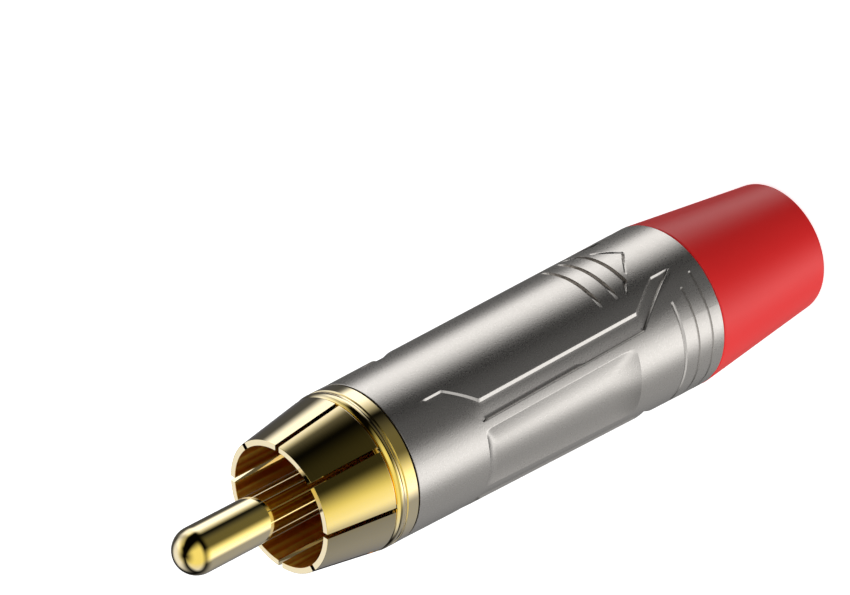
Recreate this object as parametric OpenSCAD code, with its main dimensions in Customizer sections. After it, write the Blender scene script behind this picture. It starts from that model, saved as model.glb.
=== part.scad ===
/* [Centre pin] */
// Diameter of the pin
pin_d = 3.2; // [3:0.05:3.4]
// How far the tip stands out past the mouth of the collar
pin_reach = 8.5; // [7:0.1:10]
// Diameter of the neck that passes through the insulator
pin_neck_d = 2.4; // [2.1:0.05:2.7]
// Length of the solder cup behind the insulator
cup_len = 4.4; // [3.2:0.1:5.4]
// Bore of the solder cup
cup_bore_d = 1.6; // [1.2:0.05:1.8]

/* [Ground contact] */
// Outer diameter of the collar at its mouth
mouth_d = 9.3; // [9:0.05:9.7]
// Wall of the collar at its mouth
mouth_wall = 0.42; // [0.3:0.02:0.6]
// Length of the collar's cone, from its base to its mouth
collar_len = 5.2; // [4.4:0.1:6]
// Spring fingers that the slots cut the collar into
finger_count = 8; // [6:1:10]
// Width of a slot between two fingers
slot_w = 0.35; // [0.25:0.05:0.5]
// Height of the rounded bead between the collar and the flange
bead_h = 0.85; // [0.6:0.05:1.1]
// Width of the fine groove at the foot of the collar
foot_groove_w = 0.1; // [0.06:0.02:0.16]
// Depth of the grooves beside the bead
foot_groove_depth = 0.3; // [0.2:0.02:0.4]
// Step in from the flange's radius to the foot of the collar
collar_step = 0.08; // [0.04:0.02:0.2]
// Thickness of the flange
flange_h = 0.97; // [0.8:0.01:1.4]
// Length of the threaded spigot that screws into the shell
spigot_len = 4.5; // [3.8:0.1:5.4]
// Wall of the threaded spigot round the socket
spigot_wall = 0.37; // [0.3:0.01:0.5]
// Thickness of the ledge under the insulator's head
ledge_h = 0.5; // [0.3:0.05:0.8]

/* [Insulator and tag] */
// Diameter of the insulator's body
insulator_d = 5.8; // [5:0.1:6.2]
// Diameter of the insulator's head
insulator_head_d = 7.2; // [6.6:0.1:7.8]
// Thickness of the insulator's head
insulator_head_h = 1; // [0.6:0.05:1.4]
// Sheet thickness of the solder tag
tag_t = 0.5; // [0.3:0.05:0.6]
// Width of the solder tag's tongue
tag_w = 2.4; // [1.8:0.1:2.6]
// Length of the solder tag's tongue
tag_len = 6.2; // [5:0.1:7]
// Diameter of the wire hole in the tongue
tag_hole_d = 1.1; // [0.8:0.05:1.4]

/* [Shell] */
// Length of the shell
shell_len = 27.9; // [26.5:0.1:31]
// Outer diameter at the front end
shell_front_d = 11.1; // [10.9:0.05:11.6]
// Outer diameter at the rear end
shell_rear_d = 12; // [11.7:0.05:12.6]
// Wall round the front thread
front_wall = 0.85; // [0.7:0.05:1]
// Wall round the rear thread
rear_wall = 1.05; // [0.9:0.05:1.2]
// Bore between the two threads
inner_bore_d = 8.5; // [8.3:0.05:8.8]
// Chamfer on the shell's two rims
rim_chamfer = 0.12; // [0.05:0.01:0.2]

/* [Shell relief] */
// Depth of the sunk band on each side of the bare panel
band_depth = 0.16; // [0.1:0.02:0.24]
// Offset of the band's inner edge at its two ends
band_end_offset = 2.75; // [2.5:0.05:3]
// Offset of the band's inner edge along its middle
band_inner_offset = 4.1; // [3.8:0.05:4.2]
// Offset of the band's outer edge
band_outer_offset = 4.95; // [4.8:0.05:5]
// Distance of the band's front point from the shell's front end
band_front_inset = 2.65; // [2:0.05:3.2]
// Length of the band's inner edge before it slants outwards
band_front_run = 1.85; // [1.2:0.05:2.2]
// Length of the slanted stretch at the band's front end
band_front_slant = 2.1; // [1.6:0.05:2.6]
// Distance of the outer edge's start from the shell's front end
band_outer_inset = 6.2; // [5.6:0.05:6.6]
// Distance of the band's rear point from the shell's rear end
band_tip_inset = 2.2; // [1.8:0.05:2.6]
// Length of the band's inner edge behind its rear slant
band_rear_run = 1.8; // [1.4:0.05:2.2]
// Length of the slanted stretch at the band's rear end
band_rear_slant = 2.75; // [2.2:0.05:3.2]
// Depth of the thumb recess
recess_depth = 0.22; // [0.15:0.01:0.3]
// Depth that is left at the two ends of the thumb recess
recess_end_depth = 0.03; // [0.02:0.01:0.06]
// Length of the ramp at the front end of the thumb recess
recess_front_ramp = 1.1; // [0.8:0.1:1.6]
// Length of the ramp at the rear end of the thumb recess
recess_rear_ramp = 2.7; // [2:0.1:3.5]
// Half width of the thumb recess at its front end
recess_front_half_w = 2.2; // [2:0.05:2.3]
// Half width of the thumb recess at its rear end
recess_rear_half_w = 2.6; // [2.4:0.05:2.7]
// Distance of the thumb recess from the shell's front end
recess_front_inset = 6.1; // [5.5:0.1:7]
// Distance of the thumb recess from the shell's rear end
recess_rear_inset = 7.9; // [7.2:0.1:8.6]
// Width of every cut groove
groove_w = 0.33; // [0.2:0.01:0.4]
// Depth of the grip grooves on the bare panel
grip_depth = 0.25; // [0.15:0.01:0.35]
// Spacing of the grip grooves
grip_pitch = 1.5; // [1.2:0.05:1.7]
// Distance of the bent grip groove from the shell's rear end
grip_inset = 5.86; // [5.6:0.02:6.2]
// Half width of the straight grip grooves
grip_bar_half_w = 3; // [2.6:0.05:3.2]
// Half width of the bent groove between its arms
grip_half_w = 2.1; // [1.8:0.05:2.3]
// Width of each arm of the bent groove
grip_arm_w = 0.94; // [0.7:0.02:1]
// Length of each arm of the bent groove
grip_arm_len = 0.8; // [0.6:0.02:1]
// Distance of the chevron's point from the shell's rear end
chevron_inset = 3.9; // [3.6:0.05:4.1]
// Half width of the chevron
chevron_half_w = 1.64; // [1.4:0.02:1.8]
// Length of the chevron
chevron_len = 1.38; // [1.1:0.02:1.5]
// Distance of the last rear groove from the shell's rear end
rear_groove_inset = 1.1; // [0.8:0.05:1.4]
// Spacing of the grooves behind the thumb recess
rear_groove_pitch = 1.3; // [1:0.05:1.5]

/* [Insulating sleeve] */
// Wall of the sleeve
sleeve_wall = 0.3; // [0.2:0.02:0.35]
// Room between the sleeve and the chuck behind it
sleeve_gap = 1.68; // [0.3:0.02:3]

/* [Chuck] */
// Bore that closes on the cable
chuck_bore_d = 6.2; // [5.4:0.1:6.6]
// Height of the chuck's ring
chuck_ring_h = 3; // [2.4:0.1:3.4]
// Length of the chuck's nose in front of its cone
chuck_nose_len = 3.1; // [2.4:0.1:3.4]
// Half angle of the cone that closes the chuck
chuck_angle = 20; // [15:1:30]
// Width of the slits between the chuck's jaws
slit_w = 0.6; // [0.4:0.05:0.9]
// Jaws of the chuck
jaw_count = 4; // [3:1:6]

/* [Boot] */
// Length of the boot behind the shell
boot_len = 11.6; // [9:0.1:14]
// Diameter of the boot's rear end
boot_end_d = 9.6; // [9.2:0.1:10.4]
// Radius of the boot's rear edge
boot_edge_r = 0.35; // [0.2:0.05:0.6]
// Diameter of the cable hole
cable_hole_d = 6.6; // [6:0.1:7.2]
// Length of the cable hole before it widens
cable_hole_len = 4; // [2.5:0.1:6]
// Wall of the boot's threaded spigot
boot_spigot_wall = 1.1; // [0.8:0.05:1.3]
// Length of the boot's threaded spigot
boot_spigot_len = 5.3; // [4.5:0.1:6]

/* [Fits] */
// Radial clearance of the two threads
thread_gap = 0.1; // [0.05:0.01:0.15]
// Radial clearance of pieces that slide in the shell
slide_gap = 0.08; // [0.05:0.01:0.1]
// Clearance of pieces pressed together
press_gap = 0.02; // [0.01:0.01:0.03]
// Seam between pieces that screw up against each other
seam = 0.08; // [0.04:0.01:0.15]

/* [Hidden] */
$fn = 96;

// Overshoot of cutting shapes past the surface that they cut
over = 0.5;

// Heights along the axis, from the boot's rear end up to the pin's tip
shell_z0 = boot_len;
shell_z1 = shell_z0 + shell_len;
flange_z0 = shell_z1 + seam;
flange_z1 = flange_z0 + flange_h;
bead_z = flange_z1 + bead_h / 2;
foot_z = flange_z1 + bead_h;
collar_z0 = foot_z + foot_groove_w;
mouth_z = collar_z0 + collar_len;
spigot_z0 = flange_z0 - spigot_len;
floor_z = spigot_z0 + ledge_h + insulator_head_h;
tip_z = mouth_z + pin_reach;
insulator_z0 = spigot_z0 - tag_t - press_gap;
cup_z0 = insulator_z0 - cup_len;
boot_z1 = shell_z0 - seam;
boot_spigot_z1 = boot_z1 + boot_spigot_len;
chuck_z0 = boot_spigot_z1 + seam;
chuck_ring_z1 = chuck_z0 + chuck_ring_h;

// Radii that neighbouring pieces share
front_bore_r = shell_front_d / 2 - front_wall;
rear_bore_r = shell_rear_d / 2 - rear_wall;
inner_bore_r = inner_bore_d / 2;
flange_r = shell_front_d / 2;
spigot_r = front_bore_r - thread_gap;
boot_spigot_r = rear_bore_r - thread_gap;
bead_r = bead_h / 2;
bead_ring_r = flange_r - bead_r;
foot_r = flange_r - foot_groove_depth;
collar_base_r = flange_r - collar_step;
socket_r = spigot_r - spigot_wall;
sleeve_r = inner_bore_r - slide_gap;
sleeve_bore_r = sleeve_r - sleeve_wall;
tag_ring_r = sleeve_bore_r - slide_gap;
chuck_ring_r = rear_bore_r - slide_gap;
chuck_nose_r = inner_bore_r - slide_gap;

// The chuck's cone and its seat in the shell run parallel
cone_len = (chuck_ring_r - chuck_nose_r) / tan(chuck_angle);
chuck_nose_z0 = chuck_ring_z1 + cone_len;
chuck_z1 = chuck_nose_z0 + chuck_nose_len;
sleeve_z0 = chuck_z1 + sleeve_gap;
sleeve_z1 = spigot_z0 - seam;
seat_z0 = chuck_ring_z1 + seam;
seat_z1 = seat_z0 + cone_len;
front_bore_z0 = spigot_z0 - 2 * seam - tag_t;

// Places of the relief, from the shell's front end or its rear end
band_z = shell_z1 - band_front_inset;
band_front_bend_z = band_z - band_front_run;
band_front_low_z = band_front_bend_z - band_front_slant;
band_outer_start_z = shell_z1 - band_outer_inset;
band_tip_z = shell_z0 + band_tip_inset;
band_rear_bend_z = band_tip_z + band_rear_run;
band_rear_low_z = band_rear_bend_z + band_rear_slant;
recess_z1 = shell_z1 - recess_front_inset;
recess_z0 = shell_z0 + recess_rear_inset;
grip_z = shell_z0 + grip_inset;
chevron_z = shell_z0 + chevron_inset;
rear_groove_z = shell_z0 + rear_groove_inset;
rear_groove_half_angles = [53, 46, 40];

// Radius of the shell's tapered surface at a height
function shell_r(z) =
    (shell_rear_d + (shell_front_d - shell_rear_d) * (z - shell_z0) / shell_len) / 2;

// Round bar with a hemispherical end, a thinner neck and a solder cup cut open on one side
module centre_pin() {
    pin_r = pin_d / 2;
    neck_r = pin_neck_d / 2;
    open_z = insulator_z0 - cup_len / 4;
    color("gold") difference() {
        union() {
            translate([0, 0, floor_z]) cylinder(r = pin_r, h = tip_z - pin_r - floor_z);
            translate([0, 0, tip_z - pin_r]) sphere(r = pin_r);
            translate([0, 0, cup_z0]) cylinder(r = neck_r, h = floor_z - cup_z0);
        }
        translate([0, 0, cup_z0 - over]) cylinder(d = cup_bore_d, h = open_z - cup_z0 + over);
        translate([-pin_neck_d - cup_bore_d / 4, -neck_r, cup_z0 - over])
            cube([pin_neck_d, pin_neck_d, open_z - cup_z0]);
    }
}

// Moulded bush with a head, flush with the floor of the socket
module pin_insulator() {
    head_z0 = floor_z - insulator_head_h;
    color("black") difference() {
        union() {
            translate([0, 0, head_z0]) cylinder(d = insulator_head_d, h = insulator_head_h);
            translate([0, 0, insulator_z0]) cylinder(d = insulator_d, h = head_z0 - insulator_z0);
        }
        translate([0, 0, insulator_z0 - over])
            cylinder(r = pin_neck_d / 2 + press_gap, h = floor_z - insulator_z0 + 2 * over);
    }
}

// Turned body of the ground contact: threaded spigot, flange, bead and hollow cone
module contact_body() {
    rotate_extrude() {
        polygon([
            [0, spigot_z0],
            [spigot_r, spigot_z0],
            [spigot_r, flange_z0],
            [flange_r, flange_z0],
            [flange_r, flange_z1],
            [foot_r, flange_z1],
            [foot_r, collar_z0],
            [collar_base_r, collar_z0],
            [mouth_d / 2, mouth_z],
            [mouth_d / 2 - mouth_wall, mouth_z],
            [socket_r, collar_z0],
            [socket_r, floor_z],
            [0, floor_z]
        ]);
        translate([bead_ring_r, bead_z]) circle(r = bead_r);
    }
}

// One turned piece whose collar is slotted into spring fingers
module ground_contact() {
    head_bore_r = insulator_head_d / 2 + press_gap;
    body_bore_r = insulator_d / 2 + press_gap;
    head_z0 = floor_z - insulator_head_h - press_gap;
    color("gold") difference() {
        contact_body();
        translate([0, 0, head_z0]) cylinder(r = head_bore_r, h = insulator_head_h + over);
        translate([0, 0, spigot_z0 - over]) cylinder(r = body_bore_r, h = spigot_len + over);
        for (i = [0 : finger_count - 1])
            rotate([0, 0, i * 360 / finger_count])
                translate([pin_d / 2, -slot_w / 2, collar_z0])
                    cube([flange_r, slot_w, collar_len + over]);
    }
}

// Washer behind the spigot with a drilled tongue that runs back beside the solder cup
module ground_tag() {
    ring_z0 = spigot_z0 - tag_t;
    hole_r = insulator_d / 2 + press_gap;
    tongue_x = sqrt(pow(tag_ring_r, 2) - pow(tag_w / 2, 2)) - slide_gap - tag_t;
    tongue_end_z = ring_z0 - tag_len;
    color("silver") difference() {
        union() {
            translate([0, 0, ring_z0]) cylinder(r = tag_ring_r, h = tag_t);
            translate([tongue_x, 0, 0]) rotate([90, 0, 90]) linear_extrude(height = tag_t) {
                translate([-tag_w / 2, tongue_end_z + tag_w / 2])
                    square([tag_w, tag_len - tag_w / 2 + tag_t]);
                translate([0, tongue_end_z + tag_w / 2]) circle(d = tag_w);
            }
        }
        translate([0, 0, ring_z0 - over]) cylinder(r = hole_r, h = tag_t + 2 * over);
        translate([tongue_x - over, 0, tongue_end_z + tag_w / 2])
            rotate([0, 90, 0]) cylinder(d = tag_hole_d, h = tag_t + 2 * over);
    }
}

// Skin of the shell, from outside its surface down to a floor given as [height, depth] points
module skin(floor_line) {
    last = len(floor_line) - 1;
    rotate_extrude()
        polygon(concat(
            [for (p = floor_line) [shell_r(p[0]) - p[1], p[0]]],
            [for (i = [last : -1 : 0]) [shell_r(floor_line[i][0]) + over, floor_line[i][0]]]
        ));
}

// Line of a given width through a list of points, with round ends and corners
module stroke(points, width) {
    for (i = [0 : len(points) - 2]) {
        run = points[i + 1] - points[i];
        translate(points[i]) rotate(atan2(run[1], run[0])) translate([0, -width / 2])
            square([norm(run), width]);
    }
    for (p = points)
        translate(p) circle(d = width);
}

// Sunk bands, cut straight in from the bare panel's side on both faces of the shell
module band_cut() {
    intersection() {
        skin([[band_tip_z, band_depth], [band_z, band_depth]]);
        rotate([90, 0, 90]) linear_extrude(height = 2 * shell_rear_d, center = true)
            for (side = [0, 1])
                mirror([side, 0])
                    polygon([
                        [band_end_offset, band_z],
                        [band_end_offset, band_front_bend_z],
                        [band_inner_offset, band_front_low_z],
                        [band_inner_offset, band_rear_low_z],
                        [band_end_offset, band_rear_bend_z],
                        [band_end_offset, band_tip_z],
                        [band_outer_offset, band_rear_low_z],
                        [band_outer_offset, band_outer_start_z]
                    ]);
    }
}

// Depth of the recess on a ramp, from its edge at share 0 to its floor at share 1
function ramp(share) = recess_end_depth + (recess_depth - recess_end_depth) * (1 - pow(1 - share, 2));

// Thumb recesses on both sides, which curve up to the surface at their two ends
module recess_cut() {
    intersection() {
        skin(concat(
            [for (share = [0 : 0.25 : 1]) [recess_z0 + share * recess_rear_ramp, ramp(share)]],
            [for (share = [1 : -0.25 : 0]) [recess_z1 - share * recess_front_ramp, ramp(share)]]
        ));
        rotate([90, 0, 0]) linear_extrude(height = 2 * shell_rear_d, center = true)
            polygon([
                [-recess_rear_half_w, recess_z0],
                [recess_rear_half_w, recess_z0],
                [recess_front_half_w, recess_z1],
                [-recess_front_half_w, recess_z1]
            ]);
    }
}

// Grip grooves on the bare panel: two bars, a bar with bent arms and a chevron
module grip_cut() {
    bent_bar = [
        [-grip_half_w - grip_arm_w, grip_z + grip_arm_len],
        [-grip_half_w, grip_z],
        [grip_half_w, grip_z],
        [grip_half_w + grip_arm_w, grip_z + grip_arm_len]
    ];
    chevron = [
        [-chevron_half_w, chevron_z + chevron_len],
        [0, chevron_z],
        [chevron_half_w, chevron_z + chevron_len]
    ];
    intersection() {
        skin([[chevron_z - over, grip_depth], [grip_z + 2 * grip_pitch + over, grip_depth]]);
        rotate([90, 0, 90]) linear_extrude(height = 2 * shell_rear_d, center = true) {
            stroke(chevron, groove_w);
            stroke(bent_bar, groove_w);
            for (i = [1, 2])
                translate([0, grip_z + i * grip_pitch])
                    stroke([[-grip_bar_half_w, 0], [grip_bar_half_w, 0]], groove_w);
        }
    }
}

// Round grooves that run part way round the shell behind each thumb recess
module rear_groove_cut() {
    for (side = [90, 270], i = [0 : len(rear_groove_half_angles) - 1]) {
        half_angle = rear_groove_half_angles[i];
        z = rear_groove_z + i * rear_groove_pitch;
        rotate([0, 0, side - half_angle]) rotate_extrude(angle = 2 * half_angle)
            translate([shell_r(z), z]) circle(d = groove_w);
    }
}

// Tapered tube with a thread bore at each end, a cone seat for the chuck and its relief
module shell() {
    front_r = shell_front_d / 2;
    rear_r = shell_rear_d / 2;
    color("silver") difference() {
        rotate_extrude()
            polygon([
                [rear_bore_r, shell_z0],
                [rear_r - rim_chamfer, shell_z0],
                [shell_r(shell_z0 + rim_chamfer), shell_z0 + rim_chamfer],
                [shell_r(shell_z1 - rim_chamfer), shell_z1 - rim_chamfer],
                [front_r - rim_chamfer, shell_z1],
                [front_bore_r, shell_z1],
                [front_bore_r, front_bore_z0],
                [inner_bore_r, front_bore_z0],
                [inner_bore_r, seat_z1],
                [rear_bore_r, seat_z0]
            ]);
        band_cut();
        recess_cut();
        grip_cut();
        rear_groove_cut();
    }
}

// Plastic tube that keeps the solder joints clear of the shell, from the chuck to the spigot
module insulating_sleeve() {
    sleeve_len = sleeve_z1 - sleeve_z0;
    color("white") translate([0, 0, sleeve_z0]) difference() {
        cylinder(r = sleeve_r, h = sleeve_len);
        translate([0, 0, -over]) cylinder(r = sleeve_bore_r, h = sleeve_len + 2 * over);
    }
}

// Slit collet that the boot pushes into the cone seat, so that its jaws close on the cable
module chuck() {
    bore_r = chuck_bore_d / 2;
    color("white") difference() {
        rotate_extrude()
            polygon([
                [bore_r, chuck_z0],
                [chuck_ring_r, chuck_z0],
                [chuck_ring_r, chuck_ring_z1],
                [chuck_nose_r, chuck_nose_z0],
                [chuck_nose_r, chuck_z1],
                [bore_r, chuck_z1]
            ]);
        for (i = [0 : jaw_count - 1])
            rotate([0, 0, (i + 0.5) * 360 / jaw_count])
                translate([0, -slit_w / 2, chuck_ring_z1])
                    cube([shell_rear_d, slit_w, chuck_z1 - chuck_ring_z1 + over]);
    }
}

// Moulded back nut: a tapered cap round the cable hole and a threaded spigot into the shell
module boot() {
    front_r = shell_rear_d / 2;
    end_r = boot_end_d / 2;
    hole_r = cable_hole_d / 2;
    bore_r = boot_spigot_r - boot_spigot_wall;
    color("red") rotate_extrude() {
        polygon([
            [hole_r, 0],
            [end_r - boot_edge_r, 0],
            [end_r - boot_edge_r, boot_edge_r],
            [end_r, boot_edge_r],
            [front_r, boot_z1],
            [boot_spigot_r, boot_z1],
            [boot_spigot_r, boot_spigot_z1],
            [bore_r, boot_spigot_z1],
            [bore_r, cable_hole_len + bore_r - hole_r],
            [hole_r, cable_hole_len]
        ]);
        translate([end_r - boot_edge_r, boot_edge_r]) circle(r = boot_edge_r);
    }
}

centre_pin();
pin_insulator();
ground_contact();
ground_tag();
shell();
insulating_sleeve();
chuck();
boot();
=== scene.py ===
"""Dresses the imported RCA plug: turned contacts, a relief shell and a moulded boot, in a small photo studio."""
import math

import bmesh
import bpy
import numpy as np
from mathutils import Matrix, Vector


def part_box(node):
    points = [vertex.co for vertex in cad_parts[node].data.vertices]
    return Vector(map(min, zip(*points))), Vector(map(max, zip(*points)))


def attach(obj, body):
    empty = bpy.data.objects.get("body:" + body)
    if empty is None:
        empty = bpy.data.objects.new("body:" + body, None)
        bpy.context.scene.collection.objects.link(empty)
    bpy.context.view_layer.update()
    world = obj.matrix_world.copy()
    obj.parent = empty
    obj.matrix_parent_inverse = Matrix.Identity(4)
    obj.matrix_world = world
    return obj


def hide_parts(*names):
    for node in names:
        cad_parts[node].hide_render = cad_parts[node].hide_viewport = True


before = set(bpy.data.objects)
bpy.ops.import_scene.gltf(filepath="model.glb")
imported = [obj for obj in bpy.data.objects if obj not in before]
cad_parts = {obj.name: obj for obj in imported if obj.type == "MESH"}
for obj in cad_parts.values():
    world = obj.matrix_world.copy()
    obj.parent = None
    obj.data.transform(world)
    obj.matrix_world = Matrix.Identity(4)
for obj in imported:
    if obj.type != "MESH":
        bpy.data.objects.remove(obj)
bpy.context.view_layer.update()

MM = 0.001
# Points of a grid that lie closer than this, in mm, are one point of the mesh
WELD = 0.0004
# Points of an outline that are this near a radius, in mm, lie on it
NEAR = 0.001
# Faces that meet at more than this angle keep a crisp edge
CRISP = math.radians(38)


def span(node):
    """Lowest height, highest height and largest radius of a CAD node, in mm."""
    low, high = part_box(node)
    return low.z / MM, high.z / MM, high.x / MM


# Heights and radii of the pieces in mm, from the frame
pin_z0, tip_z, pin_r = span("centre_pin")
contact_z0, mouth_z, flange_r = span("ground_contact")
shell_z0, shell_z1, rear_r = span("shell")
_, boot_spigot_z1, boot_r = span("boot")
insulator_z0, floor_z, _ = span("pin_insulator")

# Centre pin
neck_r = 1.2
cup_bore_r = 0.8
cup_cut_x = 0.4
cup_floor_z = insulator_z0 - 1.1
cup_cut_z = cup_floor_z - 0.5
cup_edge = 0.06
cup_corner = 0.05
pin_shoulder = 0.08
tip_steps = 25

# Ground contact
seam = 0.08
flange_gap = 0.14
spigot_r = 4.60
spigot_wall = 0.37
socket_r = spigot_r - spigot_wall
body_bore_r = 2.92
head_bore_r = 3.62
head_floor_z = floor_z - 1.02
flange_z0 = shell_z1 + flange_gap
bead_r = 0.425
collar_len = 5.2
collar_z0 = mouth_z - collar_len
foot_groove_w = 0.1
foot_z = collar_z0 - foot_groove_w
bead_z = foot_z - bead_r
flange_z1 = bead_z - bead_r
foot_groove_depth = 0.72
foot_r = flange_r - foot_groove_depth
bead_groove_depth = 0.08
collar_step = 0.08
collar_base_r = flange_r - collar_step
mouth_r = 4.65
mouth_wall = 0.42
finger_count = 8
slot_w = 0.35
# How far a slot's floor falls from the outside of the wall to the socket
slot_fall = 0.4
contact_pitch = 0.75
contact_thread_depth = 0.2
contact_thread_inset = 0.2
contact_thread_steps = 10
bead_steps = 17
bead_start = -np.radians(35)
# Longest step of a straight run
contact_longest = 0.6

# Shell
front_r = flange_r
front_bore_r = 4.70
tag_t = 0.5
front_bore_z0 = contact_z0 - 2 * seam - tag_t
inner_bore_r = 4.25
rear_wall = 1.05
rear_bore_r = rear_r - rear_wall
seat_z0 = 19.98
seat_z1 = 21.90
rim_r = 0.025

# Relief of the shell, as heights and as offsets from the plane through the axis
band_depth = 0.19
band_inner = np.array([
    [13.80, 2.75], [15.60, 2.75], [18.35, 4.10], [32.90, 4.10], [35.00, 2.75], [36.85, 2.75]])
band_outer = np.array([[13.80, 2.75], [18.35, 4.95], [33.30, 4.95], [36.85, 2.75]])
# Width of the band at which it has its full depth, so that it runs out in points
band_full_w = 0.35
# Inner wall, floor and outer lip of the band: places across each, and the share of the depth sunk there
wall_w = 0.05
wall_at = np.array([-0.20, -0.02, 0.14, 0.86, 1.02, 1.20]) - 0.5
wall_sunk = 0.74 * np.array([0, 0.03, 0.12, 0.88, 0.97, 1])
floor_at = np.array([0.2, 0.4, 0.6, 0.8])
floor_sunk = np.array([0.80, 0.86, 0.91, 0.95])
lip_at = np.array([-1.06, -1.0, -0.94, -0.1, 0.0, 0.06])
lip_sunk = np.array([0.95, 0.91, 0.84, 0.08, 0.02, 0])
# Width of the lip at heights up the shell
lip_w = np.array([[13.8, 0.04], [15.0, 0.2], [17.6, 0.2], [18.6, 0.19], [33.0, 0.19], [33.5, 0.02]])
panel_columns = 50
recess_z0, recess_z1 = 19.50, 33.40
recess_depth = 0.27
recess_half_w = (2.60, 2.20)
recess_rear_ramp, recess_front_ramp, recess_side_ramp = 2.7, 1.1, 1.2
# Columns beside the recess's long edge, as distances outside it, and columns of its floor
recess_edge = np.array([0.10, 0.03, 0, -0.03, -0.10, -0.20, -0.35, -0.55, -0.85])
recess_columns = 8
bar_w = 0.34
arm_w = 0.20
grip_w = np.array([bar_w, bar_w, bar_w, arm_w, arm_w])
grip_depth = np.array([0.26, 0.26, 0.26, 0.15, 0.15])
grip_wall = np.array([0.02, 0.02, 0.02, 0.08, 0.08])
grip_lines = np.array([
    [[0, 18.96], [3.0, 18.96]],
    [[0, 20.46], [3.0, 20.46]],
    [[0, 17.46], [2.1, 17.46]],
    [[2.1, 17.46], [3.04, 18.26]],
    [[0, 15.50], [1.64, 16.88]],
])
# Where along each line its groove starts to grow shallow, and how much of its depth it loses
grip_taper = np.array([0.45, 0.45, 0.99, 0.0, 0.0])
grip_runs_out = np.array([1.0, 1.0, 0.0, 0.8, 0.8])
rear_groove_w = 0.22
rear_groove_z = np.array([12.70, 14.00, 15.30])
rear_groove_start = np.radians([37.0, 44.0, 50.0])
# Columns of the flank between band and recess: above flank_z they spread over twice a share of it, and over
# flank_run below that they close up to half a width round the ends of the rear grooves
flank_columns = 9
flank_z, flank_run = 17.8, 2.0
flank_share = 0.3
flank_close_w = 0.26

# Boot
boot_z1 = shell_z0 - seam
boot_end_r = 4.8
boot_edge_r = 0.35
thread_gap = 0.1
boot_spigot_r = rear_bore_r - thread_gap
boot_spigot_wall = 1.1
boot_bore_r = boot_spigot_r - boot_spigot_wall
cable_hole_r = 3.3
cable_hole_len = 4.0
boot_pitch = 1.0
boot_thread_depth = 0.35
boot_thread_inset = (0.2, 0.3)
boot_thread_steps = 12
boot_longest = 0.8
boot_columns = 192

# Share of a thread's height that is flat at its crest, and again at its root
thread_flat = 0.12


def smooth(x):
    """S-curve 3x^2 - 2x^3 from 0 to 1, held flat outside that range."""
    x = np.clip(x, 0, 1)
    return x * x * (3 - 2 * x)


def rounded(corners, steps=4, guard=0.05):
    """Closed outline from corners (radius, height, rounding), counter-clockwise.

    Each corner becomes an arc: the rational quadratic curve between the two tangent points, whose middle
    weight is the sine of half the corner's angle. A guard point before and after it keeps the straight
    runs flat.
    """
    corners = np.array(corners, float)
    point, rounding = corners[:, :2], corners[:, 2]
    back = np.roll(point, 1, axis=0) - point
    on = np.roll(point, -1, axis=0) - point
    back /= np.linalg.norm(back, axis=1, keepdims=True)
    on /= np.linalg.norm(on, axis=1, keepdims=True)
    half = np.arccos(np.clip((back * on).sum(1), -1, 1)) / 2
    reach = (rounding / np.tan(half))[:, None, None]
    s = np.linspace(0, 1, steps + 1)[None, :, None]
    weight = 2 * s * (1 - s) * np.sin(half)[:, None, None]
    start = point[:, None] + back[:, None] * reach
    end = point[:, None] + on[:, None] * reach
    arc = (1 - s) ** 2 * start + weight * point[:, None] + s ** 2 * end
    arc /= (1 - s) ** 2 + weight + s ** 2
    first, last = start + back[:, None] * guard, end + on[:, None] * guard
    return np.concatenate([first, arc, last], axis=1).reshape(-1, 2)


def divided(outline, longest):
    """Closed outline whose straight runs are cut into equal steps no longer than each run's own limit."""
    run = np.roll(outline, -1, axis=0) - outline
    count = np.maximum(1, np.ceil(np.hypot(run[:, 0], run[:, 1]) / longest)).astype(int)
    index = np.repeat(np.arange(len(outline)), count)
    part = np.arange(len(index)) - np.repeat(np.cumsum(count) - count, count)
    return outline[index] + run[index] * (part / count[index])[:, None]


def revolved(radius, angle, height):
    """Points at a radius and an angle round the axis, at a height; the three arrays spread over one grid."""
    x, y, z = np.broadcast_arrays(radius * np.cos(angle), radius * np.sin(angle), height)
    return np.stack([x, y, z], axis=-1)


def thread_sink(angle, height, low, high, pitch, depth):
    """How far a right-hand thread is sunk below its crest: a clipped triangle wave of height less turns,
    which fades out over one pitch at both ends."""
    wave = np.abs(2 * ((height / pitch - angle / (2 * np.pi)) % 1) - 1)
    fade = smooth((height - low) / pitch) * smooth((high - height) / pitch)
    return depth * fade * np.clip((wave - thread_flat) / (1 - 2 * thread_flat), 0, 1)


def slotted(r, z, floor_r, floor_z, half_angle, count, start, finger_steps, slot_steps):
    """Turned outline (r, z) that is cut by evenly spaced slots.

    The columns run slot, finger, slot, finger round the axis. half_angle(radius) is half the slot's angle at a
    radius, so a slot keeps flat parallel walls. In a slot's columns the cut rows fall onto the slot's floor.
    """
    period = 2 * np.pi / count
    middle = start + period * np.arange(count)[None, :, None]
    cut = middle + np.linspace(-1, 1, slot_steps) * half_angle(floor_r)[:, None, None]
    finger = np.linspace(-1, 1, finger_steps) * (period / 2 - half_angle(r))[:, None, None]
    finger = middle + period / 2 + finger
    angle = np.concatenate([cut, finger], axis=2).reshape(len(r), -1)
    in_slot = np.tile(np.arange(slot_steps + finger_steps) < slot_steps, count)
    radius = np.where(in_slot, floor_r[:, None], r[:, None])
    height = np.where(in_slot, floor_z[:, None], z[:, None])
    return radius, angle, height


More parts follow.
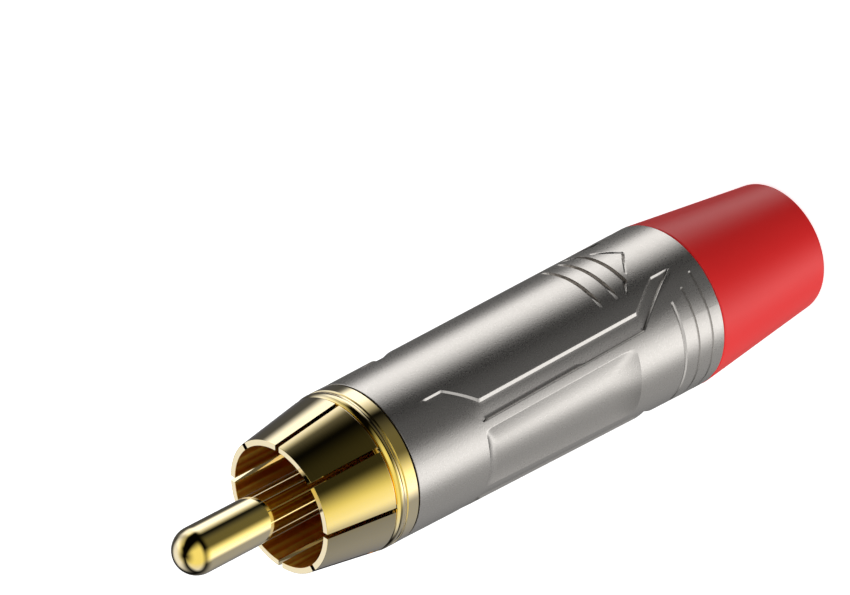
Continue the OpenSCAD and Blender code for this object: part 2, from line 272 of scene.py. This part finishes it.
def mesh_of(name, points, closed_rows):
    """Mesh of quads over a grid of points (rows, columns, xyz) in mm, closed round its columns.

    Rows climb the outer side and columns turn to the left, so the faces point outwards. Rows that fall on one
    point close a pole, and the weld takes away what has no area.
    """
    rows, columns = points.shape[:2]
    index = np.arange(rows * columns).reshape(rows, columns)
    index = np.concatenate([index, index[:, :1]], axis=1)
    if closed_rows:
        index = np.concatenate([index, index[:1]], axis=0)
    quads = np.stack([index[:-1, :-1], index[:-1, 1:], index[1:, 1:], index[1:, :-1]], axis=-1)
    mesh = bpy.data.meshes.new(name)
    mesh.vertices.add(rows * columns)
    mesh.vertices.foreach_set("co", (points * MM).astype(np.float32).ravel())
    mesh.loops.add(quads.size)
    mesh.loops.foreach_set("vertex_index", quads.astype(np.int32).ravel())
    mesh.polygons.add(quads.size // 4)
    mesh.polygons.foreach_set("loop_start", np.arange(0, quads.size, 4, dtype=np.int32))
    mesh.update(calc_edges=True)
    welded = bmesh.new()
    welded.from_mesh(mesh)
    bmesh.ops.remove_doubles(welded, verts=welded.verts, dist=WELD * MM)
    welded.to_mesh(mesh)
    welded.free()
    mesh.shade_smooth()
    mesh.set_sharp_from_angle(angle=CRISP)
    return mesh


def piece(name, points, material, body, node, closed_rows=True):
    """New piece that rides on a body, stands for a CAD node and takes its finish from a slot."""
    mesh = mesh_of(name, points, closed_rows)
    mesh.materials.append(material)
    made = bpy.data.objects.new(name, mesh)
    bpy.context.scene.collection.objects.link(made)
    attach(made, body)
    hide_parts(node)
    return made


def pin_points():
    """Outline from the bottom of the solder cup's bore, over the neck and the body, to the tip's pole, turned
    round the axis; the cup is cut open on one side by a plane."""
    tip = np.linspace(0, np.pi / 2, tip_steps)
    outline = np.concatenate([
        [[0, cup_floor_z], [cup_bore_r - cup_corner, cup_floor_z]],
        [[cup_bore_r, cup_floor_z - cup_corner], [cup_bore_r, cup_cut_z]],
        [[cup_bore_r, pin_z0 + cup_edge], [cup_bore_r + cup_edge, pin_z0]],
        [[neck_r - cup_edge, pin_z0], [neck_r, pin_z0 + cup_edge], [neck_r, cup_cut_z]],
        [[neck_r, floor_z - 0.05], [neck_r, floor_z], [pin_r - pin_shoulder, floor_z]],
        [[pin_r, floor_z + pin_shoulder], [pin_r, floor_z + 0.15]],
        [[pin_r, mouth_z], [pin_r, tip_z - pin_r - 0.1]],
        np.stack([pin_r * np.cos(tip), tip_z - pin_r + pin_r * np.sin(tip)], axis=1),
    ])
    r, z = outline.T
    low = z < cup_cut_z
    radius, angle, height = slotted(
        r, z, r, np.where(low, cup_cut_z, z),
        lambda radius: np.arccos(np.clip(cup_cut_x / np.maximum(radius, 1e-6), 0, 1)),
        count=1, start=np.pi, finger_steps=57, slot_steps=33)
    return revolved(radius, angle, height)


def contact_points():
    """One turned outline (spigot, flange, bead, slotted cone, socket) with a thread on the spigot and the
    collar's rows dropped to the slot floor between the spring fingers."""
    bead_end = np.arccos((foot_r - (flange_r - bead_r)) / bead_r)
    bead_turn = np.linspace(bead_start, bead_end, bead_steps)
    bead = np.stack([
        flange_r - bead_r + bead_r * np.cos(bead_turn), bead_z + bead_r * np.sin(bead_turn),
        np.full(bead_steps, 0.004)], axis=1)
    outline = rounded(np.concatenate([
        [[body_bore_r, contact_z0, 0.08], [spigot_r, contact_z0, 0.2], [spigot_r, flange_z0, 0.05]],
        [[flange_r, flange_z0, 0.02], [flange_r, flange_z1, 0.05]],
        [[flange_r - bead_groove_depth, flange_z1 + 0.03, 0.02]],
        bead,
        [[foot_r, collar_z0, 0.01], [collar_base_r, collar_z0, 0.05], [mouth_r, mouth_z, 0.03]],
        [[mouth_r - mouth_wall, mouth_z, 0.03], [socket_r, collar_z0, 0.2]],
        [[socket_r, floor_z, 0.12], [head_bore_r, floor_z, 0.05]],
        [[head_bore_r, head_floor_z, 0.05], [body_bore_r, head_floor_z, 0.05]],
    ]), guard=0.004)
    on_spigot = (np.abs(outline[:, 0] - spigot_r) < NEAR) & (outline[:, 1] < flange_z0)
    r, z = divided(outline, np.where(on_spigot, contact_pitch / contact_thread_steps, contact_longest)).T
    collar = z > collar_z0 - WELD
    across = np.where(collar, np.clip((mouth_r - r) / mouth_wall, 0, 1), 0)
    across = np.maximum.accumulate(across)
    floor_r = np.where(collar, foot_r + (socket_r - foot_r) * across, r)
    radius, angle, height = slotted(
        r, z, floor_r, np.minimum(z, collar_z0 - slot_fall * across),
        lambda radius: np.arcsin(slot_w / 2 / radius),
        count=finger_count, start=0, finger_steps=23, slot_steps=3)
    threaded = (np.abs(radius - spigot_r) < NEAR) & (height < flange_z0)
    sink = thread_sink(
        angle, height, contact_z0 + contact_thread_inset, flange_z0 - contact_thread_inset,
        contact_pitch, contact_thread_depth)
    return revolved(radius - np.where(threaded, sink, 0), angle, height)


def boot_points():
    """One moulded outline turned round the axis: tapered cap, rounded rear edge, threaded spigot and cable
    bore."""
    outline = rounded([
        [cable_hole_r, 0, 0.25], [boot_end_r, 0, boot_edge_r], [boot_r, boot_z1, 0.1],
        [boot_spigot_r, boot_z1, 0.1], [boot_spigot_r, boot_spigot_z1, 0.25],
        [boot_bore_r, boot_spigot_z1, 0.15],
        [boot_bore_r, cable_hole_len + boot_bore_r - cable_hole_r, 0.1],
        [cable_hole_r, cable_hole_len, 0.1],
    ], steps=6)
    on_spigot = (np.abs(outline[:, 0] - boot_spigot_r) < NEAR) & (outline[:, 1] > boot_z1)
    r, z = divided(outline, np.where(on_spigot, boot_pitch / boot_thread_steps, boot_longest)).T
    angle = np.linspace(0, 2 * np.pi, boot_columns, endpoint=False)
    r, z = r[:, None], z[:, None]
    threaded = (np.abs(r - boot_spigot_r) < NEAR) & (z > boot_z1)
    sink = thread_sink(
        angle, z, boot_z1 + boot_thread_inset[0], boot_spigot_z1 - boot_thread_inset[1],
        boot_pitch, boot_thread_depth)
    return revolved(r - np.where(threaded, sink, 0), angle, z)


def shell_r(z):
    """Radius of the shell's plain taper at a height, rounded off at its two rims."""
    taper = rear_r + (front_r - rear_r) * (z - shell_z0) / (shell_z1 - shell_z0)
    into = np.clip(1 - np.minimum(z - shell_z0, shell_z1 - z) / rim_r, 0, 1)
    return taper - rim_r * (1 - np.sqrt(1 - into ** 2))


def grip_sink(across, z):
    """Depth of the grip grooves: a flat floor along each line, beside walls that rise over a set width. A
    groove grows shallow along its line, so that it runs out."""
    start, run = grip_lines[:, 0], grip_lines[:, 1] - grip_lines[:, 0]
    at = np.stack([across, z], axis=-1)[..., None, :] - start
    along = np.clip((at * run).sum(-1) / (run ** 2).sum(-1), 0, 1)
    away = np.linalg.norm(at - along[..., None] * run, axis=-1)
    left = 1 - np.clip((along - grip_taper) / (1 - grip_taper), 0, 1) * grip_runs_out
    return (grip_depth * left * smooth((grip_w / 2 - away) / grip_wall)).max(-1)


def shell_rows():
    """Heights of the rows up the shell's outside, close together where the relief has edges."""
    rim = rim_r * (1 - np.cos(np.linspace(0, np.pi / 2, 6)))
    # Rows across a rear groove and across a straight grip groove, about its middle; the rear groove next to the
    # recess lies in a close stretch
    groove = np.array([-0.22, -0.178, -0.155, -0.11, -0.06, 0, 0.06, 0.11, 0.155, 0.178, 0.22])
    bar = bar_w / 2 * np.array([-1.06, -1, -0.88, -0.5, 0, 0.5, 0.88, 1, 1.06])
    # Rows between them: from, to and how many
    stretches = [
        (shell_z0 + rim_r + 0.05, 12.40, 3), (12.96, 13.70, 7), (14.26, 15.02, 7),
        (15.06, 17.24, 45), (17.67, 18.74, 25), (19.17, 19.44, 4), (19.46, 19.54, 5),
        (19.58, 20.24, 11), (20.68, 22.50, 9), (22.90, 32.00, 12), (32.20, 33.30, 9),
        (33.34, 33.46, 5), (33.60, 36.90, 22), (37.20, shell_z1 - rim_r - 0.05, 5),
    ]
    return np.sort(np.concatenate(
        [shell_z0 + rim, shell_z1 - rim] + [z + groove for z in rear_groove_z[:2]]
        + [z + bar for z in grip_lines[:3, 0, 1]]
        + [np.linspace(*stretch) for stretch in stretches]))


def shell_quarter(z):
    """One quarter of the shell's outside, from the middle of the bare panel round to the middle of the recess.

    Each row's columns follow the edges of the relief at its height. Up to the band's outer edge a column has
    a set offset y from the plane through the axis, and x comes from the sunk radius. Round the recess a column
    has a set angle from its x on the plain taper, and its radius is sunk. The flank between them is stepped in
    angle, closely where the rear grooves end. The recess's depth falls off as the cube root of the summed
    sixth powers of the distances into its ramps, so its floor is flat and its corners are round.
    """
    z = z[:, None]
    r = shell_r(z)
    inner = np.interp(z, *band_inner.T)
    outer = np.interp(z, *band_outer.T)
    band = band_depth * smooth((outer - inner) / band_full_w)
    outer_w = np.minimum(np.interp(z, *lip_w.T), 0.5 * (outer - inner) + 0.01)
    inner_y = inner + wall_w * wall_at
    outer_y = np.maximum(outer + outer_w * lip_at, inner_y[:, -1:] + 0.004)
    floor_y = inner_y[:, -1:] + (outer_y[:, :1] - inner_y[:, -1:]) * floor_at
    panel_y = inner_y[:, :1] * np.linspace(0, 1, panel_columns, endpoint=False)
    y = np.concatenate([panel_y, inner_y, floor_y, outer_y], axis=1)
    share = np.concatenate([np.zeros(panel_columns), wall_sunk, floor_sunk, lip_sunk])
    sunk_r = r - np.maximum(band * share, grip_sink(y, np.broadcast_to(z, y.shape)))
    front = np.stack([np.sqrt(sunk_r ** 2 - y ** 2), y, np.broadcast_to(z, y.shape)], axis=-1)

    half_w = np.interp(z, [recess_z0, recess_z1], recess_half_w)
    recess_floor = (half_w + recess_edge[-1]) * np.linspace(1, 0, recess_columns)[1:]
    x = np.concatenate([half_w + recess_edge, recess_floor], axis=1)
    lead = np.arctan2(y[:, -1:], front[:, -1:, 0])
    tail = np.arccos(x[:, :1] / r)
    grooved = smooth((flank_z - z) / flank_run)
    groove_end = np.interp(z, rear_groove_z, rear_groove_start)
    turn = (lead + tail) / 2 * (1 - grooved) + groove_end * grooved
    half_turn = flank_share * (tail - lead) * (1 - grooved) + flank_close_w / r * grooved
    near = turn + np.linspace(-1, 1, flank_columns) * half_turn
    flank = np.concatenate([
        lead + (near[:, :1] - lead) * np.array([0.33, 0.66]), near, (near[:, -1:] + tail) / 2], axis=1)
    angle = np.concatenate([flank, np.arccos(x / r)], axis=1)
    gone = np.maximum(rear_groove_start - angle[..., None], 0) * r[..., None]
    away = np.hypot(gone, z[..., None] - rear_groove_z)
    groove = np.sqrt(np.maximum((rear_groove_w / 2) ** 2 - away ** 2, 0)).max(-1)

    x = r * np.cos(angle)
    from_end = np.clip(1 - np.minimum(
        (z - recess_z0) / recess_rear_ramp, (recess_z1 - z) / recess_front_ramp), 0, 1)
    from_side = np.clip(1 - (half_w - x) / recess_side_ramp, 0, 1)
    depth = recess_depth * np.clip(1 - (from_end ** 6 + from_side ** 6) ** (1 / 3), 0, 1)
    side = revolved(r - np.maximum(depth, groove), angle, z)
    return np.concatenate([front, side], axis=1)


def shell_points():
    """The quarter and its mirror image, twice round the axis, closed by the bores inside."""
    quarter = shell_quarter(shell_rows())
    half = np.concatenate([quarter, (quarter * [-1, 1, 1])[:, -2::-1]], axis=1)
    outside = np.concatenate([half[:, :-1], -half[:, :-1] * [1, 1, -1]], axis=1)
    bores = rounded([
        [rear_r, shell_z1, 0.05], [front_bore_r, shell_z1, 0.15], [front_bore_r, front_bore_z0, 0.05],
        [inner_bore_r, front_bore_z0, 0.05], [inner_bore_r, seat_z1, 0.1], [rear_bore_r, seat_z0, 0.1],
        [rear_bore_r, shell_z0, 0.15], [rear_r, shell_z0, 0.05],
    ], steps=3)[6:-6]
    share = ((bores[:, 1] - shell_z0) / (shell_z1 - shell_z0))[:, None]
    angle = np.unwrap(np.arctan2(outside[[0, -1], :, 1], outside[[0, -1], :, 0]), axis=1)
    angle = angle[:1] * (1 - share) + angle[1:] * share
    inside = revolved(bores[:, :1], angle, bores[:, 1:])
    return np.concatenate([outside, inside])


def linear(colour):
    """Linear RGBA of an sRGB hex colour."""
    srgb = np.array([int(colour[i:i + 2], 16) for i in (1, 3, 5)]) / 255
    return (*np.where(srgb <= 0.04045, srgb / 12.92, ((srgb + 0.055) / 1.055) ** 2.4), 1.0)


def add(tree, kind, inputs=None, **settings):
    """Adds one node: settings are its properties, and inputs are its sockets by name or number, each a value or
    another node's output."""
    node = tree.nodes.new(kind)
    for key, value in settings.items():
        setattr(node, key, value)
    for key, value in (inputs or {}).items():
        if isinstance(value, bpy.types.NodeSocket):
            tree.links.new(value, node.inputs[key])
        else:
            node.inputs[key].default_value = value
    return node


def finish(name, shader):
    """New material with one shader: returns the material, its tree, the shader and the object's coordinates."""
    material = bpy.data.materials.new(name)
    material.use_nodes = True
    tree = material.node_tree
    tree.nodes.clear()
    surface = add(tree, "ShaderNodeBsdfPrincipled", shader)
    add(tree, "ShaderNodeOutputMaterial", {"Surface": surface.outputs["BSDF"]})
    place = add(tree, "ShaderNodeTexCoord").outputs["Object"]
    return material, tree, surface, place


def per_mm(size):
    """Scale of a pattern whose features are that many mm across."""
    return 1 / (size * MM)


# Radii in mm of the inside of the socket, where the gold is duller and carries painted copper-orange shade:
# their middle, and the reach to either side
BORE_MIDDLE = (mouth_r - mouth_wall + pin_r) / 2 + 0.03
BORE_REACH = (mouth_r - mouth_wall - pin_r) / 2 - 0.02


def polished_gold_plate():
    """Gold plating on turned brass, polished and lacquered: mirror-bright and warm, paler towards its edges,
    where the lacquer mirrors more, with faint rings left by the lathe. The lathe's feed of about 0.05 mm is
    drawn at 0.16 mm so that it shows. Inside the socket the plating is bare and scuffed along the axis by the
    jack: duller, in streaks about 0.5 mm wide. The same streaks carry painted shade: a copper-orange base colour
    that stands in for the deep, warm light bounced between the socket's gold walls."""
    material, tree, surface, place = finish("polished_gold_plate", {
        "Metallic": 1.0, "Coat Roughness": 0.03, "Coat IOR": 4.0, "Coat Tint": (0.72, 0.73, 1.0, 1.0)})
    parts = add(tree, "ShaderNodeSeparateXYZ", {0: place})
    flat = add(tree, "ShaderNodeVectorMath", {0: place, 1: (1, 1, 0)}, operation="MULTIPLY")
    radius = add(tree, "ShaderNodeVectorMath", {0: flat.outputs[0]}, operation="LENGTH")
    feed = add(tree, "ShaderNodeMath", {0: parts.outputs["Z"], 1: radius.outputs["Value"]}, operation="ADD")
    rings = add(tree, "ShaderNodeTexNoise", {"W": feed.outputs[0], "Scale": per_mm(0.16), "Detail": 2.0},
                noise_dimensions="1D")
    bump = add(tree, "ShaderNodeBump", {
        "Strength": 0.02, "Distance": 0.02 * MM, "Height": rings.outputs["Fac"]})
    wear = add(tree, "ShaderNodeTexNoise", {"Vector": place, "Scale": per_mm(1.4), "Detail": 4.0})
    gloss = add(tree, "ShaderNodeMapRange", {
        "Value": wear.outputs["Fac"], "From Min": 0.3, "From Max": 0.7, "To Min": 0.035, "To Max": 0.065})
    bore = add(tree, "ShaderNodeMath", {0: radius.outputs["Value"], 1: BORE_MIDDLE * MM, 2: BORE_REACH * MM},
               operation="COMPARE")
    stretch = add(tree, "ShaderNodeMapping", {"Vector": place, "Scale": (1, 1, 0.02)})
    rubbed_and_shade_streaks = add(tree, "ShaderNodeTexNoise", {
        "Vector": stretch.outputs[0], "Scale": per_mm(0.5), "Detail": 3.0})
    bore_gloss = add(tree, "ShaderNodeMapRange", {
        "Value": rubbed_and_shade_streaks.outputs["Fac"], "From Min": 0.35, "From Max": 0.65, "To Min": 0.6, "To Max": 0.3})
    # Painted shade: inside the socket these streaks turn the base colour copper-orange, standing in for the
    # deep, warm light bounced between the gold walls
    painted_shade_streaks = add(tree, "ShaderNodeMapRange", {
        "Value": rubbed_and_shade_streaks.outputs["Fac"], "From Min": 0.38, "From Max": 0.6, "To Min": 0.05, "To Max": 1.0})
    painted_socket_shade = add(tree, "ShaderNodeMath", {0: painted_shade_streaks.outputs["Result"], 1: bore.outputs[0]}, operation="MULTIPLY")
    tint = add(tree, "ShaderNodeMix", {
        0: painted_socket_shade.outputs[0], 6: linear("#F8DA6C"), 7: linear("#F09A22")}, data_type="RGBA")
    roughness = add(tree, "ShaderNodeMix", {
        0: bore.outputs[0], 2: gloss.outputs["Result"], 3: bore_gloss.outputs["Result"]})
    edge = add(tree, "ShaderNodeLayerWeight", {"Blend": 0.5})
    sheen = add(tree, "ShaderNodeMapRange", {
        "Value": edge.outputs["Facing"], "From Min": 0.14, "From Max": 0.38})
    outside = add(tree, "ShaderNodeMath", {0: 1.0, 1: bore.outputs[0]}, operation="SUBTRACT")
    lacquer = add(tree, "ShaderNodeMath", {0: sheen.outputs["Result"], 1: outside.outputs[0]},
                  operation="MULTIPLY")
    tree.links.new(bump.outputs["Normal"], surface.inputs["Normal"])
    tree.links.new(roughness.outputs[0], surface.inputs["Roughness"])
    tree.links.new(lacquer.outputs[0], surface.inputs["Coat Weight"])
    tree.links.new(tint.outputs[2], surface.inputs["Base Color"])
    return material


def satin_nickel_plate():
    """Nickel plating on bead-blasted zinc: a soft grey sheen with a fine even grain. The blast pits of about
    0.05 mm are drawn at 0.11 mm so that they show."""
    material, tree, surface, place = finish("satin_nickel_plate", {
        "Base Color": linear("#C6C2BD"), "Metallic": 1.0})
    pits = add(tree, "ShaderNodeTexNoise", {"Vector": place, "Scale": per_mm(0.11), "Detail": 3.0})
    bump = add(tree, "ShaderNodeBump", {
        "Strength": 0.26, "Distance": 0.02 * MM, "Height": pits.outputs["Fac"]})
    gloss = add(tree, "ShaderNodeMapRange", {
        "Value": pits.outputs["Fac"], "From Min": 0.3, "From Max": 0.7, "To Min": 0.26, "To Max": 0.33})
    tree.links.new(bump.outputs["Normal"], surface.inputs["Normal"])
    tree.links.new(gloss.outputs["Result"], surface.inputs["Roughness"])
    return material


def moulded_plastic(name, colour, deep_colour, roughness, grain):
    """Moulded or extruded plastic: even colour with a faint flow variation over about 5 mm, and the fine matt
    grain of a spark-eroded tool, drawn at the given size in mm so that it shows."""
    material, tree, surface, place = finish(name, {
        "Roughness": roughness, "IOR": 1.5, "Specular IOR Level": 0.35})
    flow = add(tree, "ShaderNodeTexNoise", {"Vector": place, "Scale": per_mm(5.0), "Detail": 3.0})
    tint = add(tree, "ShaderNodeMix", {
        0: flow.outputs["Fac"], 6: linear(deep_colour), 7: linear(colour)}, data_type="RGBA")
    spark = add(tree, "ShaderNodeTexNoise", {"Vector": place, "Scale": per_mm(grain), "Detail": 2.0})
    bump = add(tree, "ShaderNodeBump", {
        "Strength": 0.08, "Distance": 0.02 * MM, "Height": spark.outputs["Fac"]})
    tree.links.new(tint.outputs[2], surface.inputs["Base Color"])
    tree.links.new(bump.outputs["Normal"], surface.inputs["Normal"])
    return material


def tin_plate():
    """Tin plating on pressed brass sheet: pale grey, half bright, with rolling lines along the sheet about
    0.2 mm apart."""
    material, tree, surface, place = finish("tin_plate_on_brass_sheet", {
        "Base Color": linear("#CFCFCB"), "Metallic": 1.0, "Roughness": 0.3})
    stretch = add(tree, "ShaderNodeMapping", {"Vector": place, "Scale": (1, 1, 0.06)})
    rolled = add(tree, "ShaderNodeTexNoise", {
        "Vector": stretch.outputs[0], "Scale": per_mm(0.2), "Detail": 3.0})
    gloss = add(tree, "ShaderNodeMapRange", {
        "Value": rolled.outputs["Fac"], "From Min": 0.3, "From Max": 0.7, "To Min": 0.24, "To Max": 0.4})
    tree.links.new(gloss.outputs["Result"], surface.inputs["Roughness"])
    return material


gold = polished_gold_plate()
nickel = satin_nickel_plate()
red_nylon = moulded_plastic("moulded_red_nylon", "#FB2C2C", "#F42929", roughness=0.36, grain=0.14)
acetal = moulded_plastic("moulded_black_acetal", "#262628", "#202022", roughness=0.38, grain=0.14)
polypropylene = moulded_plastic("extruded_polypropylene", "#E2E2DE", "#DADAD5", roughness=0.45, grain=0.2)
chuck_nylon = moulded_plastic("moulded_white_nylon", "#ECECEA", "#E6E6E2", roughness=0.4, grain=0.14)
tin = tin_plate()

piece("shell_relief", shell_points(), nickel, "shell", "shell")
piece("contact_fingers", contact_points(), gold, "contacts", "ground_contact")
piece("pin_with_cup", pin_points(), gold, "contacts", "centre_pin", closed_rows=False)
piece("boot_moulding", boot_points(), red_nylon, "boot", "boot")

for node, material in {
    "pin_insulator": acetal, "ground_tag": tin, "insulating_sleeve": polypropylene, "chuck": chuck_nylon,
}.items():
    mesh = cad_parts[node].data
    mesh.materials.clear()
    mesh.materials.append(material)

# Soft boxes of the studio. Each has the angles round the plug at which it starts, is full, starts to fade and
# ends, counted from the camera's side, then the same for its heights above the horizon, and its brightness.
SOFT_BOXES = {
    "right_strip": ((-84, -58, -48, -8), (-64, -50, -40, 14), 1.6),
    "right_foot": ((-112, -86, -68, -46), (-66, -60, -54, -44), 1.0),
    "top_strip": ((70, 90, 106, 128), (-44, -16, -12, 16), 1.35),
    "top_strip_end": ((50, 82, 102, 121), (-60, -43, -40, -14), 1.58),
    "top_foot": ((90, 108, 130, 154), (-66, -60, -54, -44), 1.2),
    "top_glow": ((74, 90, 118, 140), (-14, 2, 38, 60), 0.45),
    "front_panel": ((-130, -106, -6, 40), (-6, 18, 42, 90), 1.0),
    "back_panel": ((82, 130, 190, 232), (0, 30, 45, 82), 1.1),
    "rear_strip": ((148, 172, 188, 206), (-70, -56, -18, 2), 0.08),
    "left_fill": ((104, 128, 165, 185), (-70, -56, -5, 8), 0.09),
    "side_fill": ((-205, -108, -80, -30), (-70, -56, -34, 0), 0.44),
    "low_front": ((-45, -5, 14, 54), (-70, -56, -36, -8), 0.15),
}
ROOM_LIGHT = 0.002
CAMERA_ANGLE = 48


def soft_edge(tree, place, start, full, fade, end):
    """Brightness along one direction: eased from nothing at start to full, and from fade back to nothing at
    end."""
    ramp = add(tree, "ShaderNodeValToRGB", {0: place})
    ramp.color_ramp.interpolation = "EASE"
    ramp.color_ramp.elements.new(0.5)
    ramp.color_ramp.elements.new(0.5)
    for stop, at, level in zip(ramp.color_ramp.elements, (start, full, fade, end), (0, 1, 1, 0)):
        stop.position = at
        stop.color = (level, level, level, 1)
    return ramp.outputs["Color"]


world = bpy.data.worlds.new("studio")
bpy.context.scene.world = world
world.use_nodes = True
tree = world.node_tree
tree.nodes.clear()
direction = add(tree, "ShaderNodeTexCoord").outputs["Generated"]
rise = add(tree, "ShaderNodeSeparateXYZ", {0: direction}).outputs["Z"]
rise = add(tree, "ShaderNodeMath", {0: rise}, operation="ARCSINE").outputs[0]
rise = add(tree, "ShaderNodeMath", {0: rise, 1: 1 / math.pi, 2: 0.5}, operation="MULTIPLY_ADD").outputs[0]
light = ROOM_LIGHT
for angles, heights, level in SOFT_BOXES.values():
    middle = (angles[0] + angles[3]) / 2
    turned = add(tree, "ShaderNodeMapping", {
        "Vector": direction, "Rotation": (0, 0, math.radians(CAMERA_ANGLE - middle))})
    around = add(tree, "ShaderNodeTexGradient", {"Vector": turned.outputs[0]}, gradient_type="RADIAL")
    across = soft_edge(tree, around.outputs["Fac"], *[0.5 + (angle - middle) / 360 for angle in angles])
    upwards = soft_edge(tree, rise, *[0.5 + height / 180 for height in heights])
    box = add(tree, "ShaderNodeMath", {0: across, 1: upwards}, operation="MULTIPLY").outputs[0]
    light = add(tree, "ShaderNodeMath", {0: box, 1: level, 2: light}, operation="MULTIPLY_ADD").outputs[0]
seen = add(tree, "ShaderNodeLightPath").outputs["Is Camera Ray"]
studio = add(tree, "ShaderNodeBackground", {"Color": light})
backdrop = add(tree, "ShaderNodeBackground", {"Color": linear("#FDFDFD")})
mixed = add(tree, "ShaderNodeMixShader", {
    0: seen, 1: studio.outputs[0], 2: backdrop.outputs[0]})
add(tree, "ShaderNodeOutputWorld", {"Surface": mixed.outputs[0]})

# Soft lamp from the right that only lifts the matt plastic: the metal does not mirror it
LAMP_ANGLE = -55
LAMP_HEIGHT = 10
LAMP_SPREAD = 60
LAMP_STRENGTH = 0.8
lamp = bpy.data.lights.new("side_lamp", "SUN")
lamp.energy = LAMP_STRENGTH
lamp.angle = math.radians(LAMP_SPREAD)
lamp_object = bpy.data.objects.new("side_lamp", lamp)
lamp_object.rotation_euler = (
    math.radians(90 - LAMP_HEIGHT), 0, math.radians(LAMP_ANGLE - CAMERA_ANGLE + 90))
lamp_object.visible_glossy = False
bpy.context.scene.collection.objects.link(lamp_object)

# Pale floor under the boot, which the metal does not mirror
FLOOR_HALF = 3.0
FLOOR_DROP = 0.02 * MM
floor_mesh = bpy.data.meshes.new("floor")
floor_mesh.from_pydata(
    [(x, y, -FLOOR_DROP) for x, y in ((-FLOOR_HALF, -FLOOR_HALF), (FLOOR_HALF, -FLOOR_HALF),
                                      (FLOOR_HALF, FLOOR_HALF), (-FLOOR_HALF, FLOOR_HALF))], [], [(0, 1, 2, 3)])
floor = bpy.data.objects.new("floor", floor_mesh)
bpy.context.scene.collection.objects.link(floor)
paper, _, _, _ = finish("white_paper_sweep", {
    "Base Color": linear("#F2F2F2"), "Roughness": 0.9, "Emission Color": linear("#FFFFFF"),
    "Emission Strength": 0.75})
floor_mesh.materials.append(paper)
floor.visible_glossy = False
floor.visible_diffuse = False
floor.visible_transmission = False
floor.visible_shadow = False

# Camera, fitted to the outlines of the plug in the 850 x 595 picture
CAMERA_AT = Vector((147.4786, -163.6747, 187.0021)) * MM
AZIMUTH = math.radians(39.9919)
ELEVATION = math.radians(35.6487)
ROLL = math.radians(-116.4844)
LENS = 173.148
back = Vector((math.sin(AZIMUTH) * math.cos(ELEVATION), -math.cos(AZIMUTH) * math.cos(ELEVATION),
               math.sin(ELEVATION)))
level = Vector((0, 0, 1)).cross(back).normalized()
plumb = back.cross(level)
right = math.cos(ROLL) * level + math.sin(ROLL) * plumb
up = math.cos(ROLL) * plumb - math.sin(ROLL) * level
lens = bpy.data.cameras.new("camera")
lens.sensor_fit = "HORIZONTAL"
lens.sensor_width = 36
lens.lens = LENS
lens.clip_start = 0.001
camera = bpy.data.objects.new("camera", lens)
camera.matrix_world = Matrix.Translation(CAMERA_AT) @ Matrix((right, up, back)).transposed().to_4x4()
bpy.context.scene.collection.objects.link(camera)
bpy.context.scene.camera = camera
bpy.context.scene.view_settings.view_transform = "Standard"
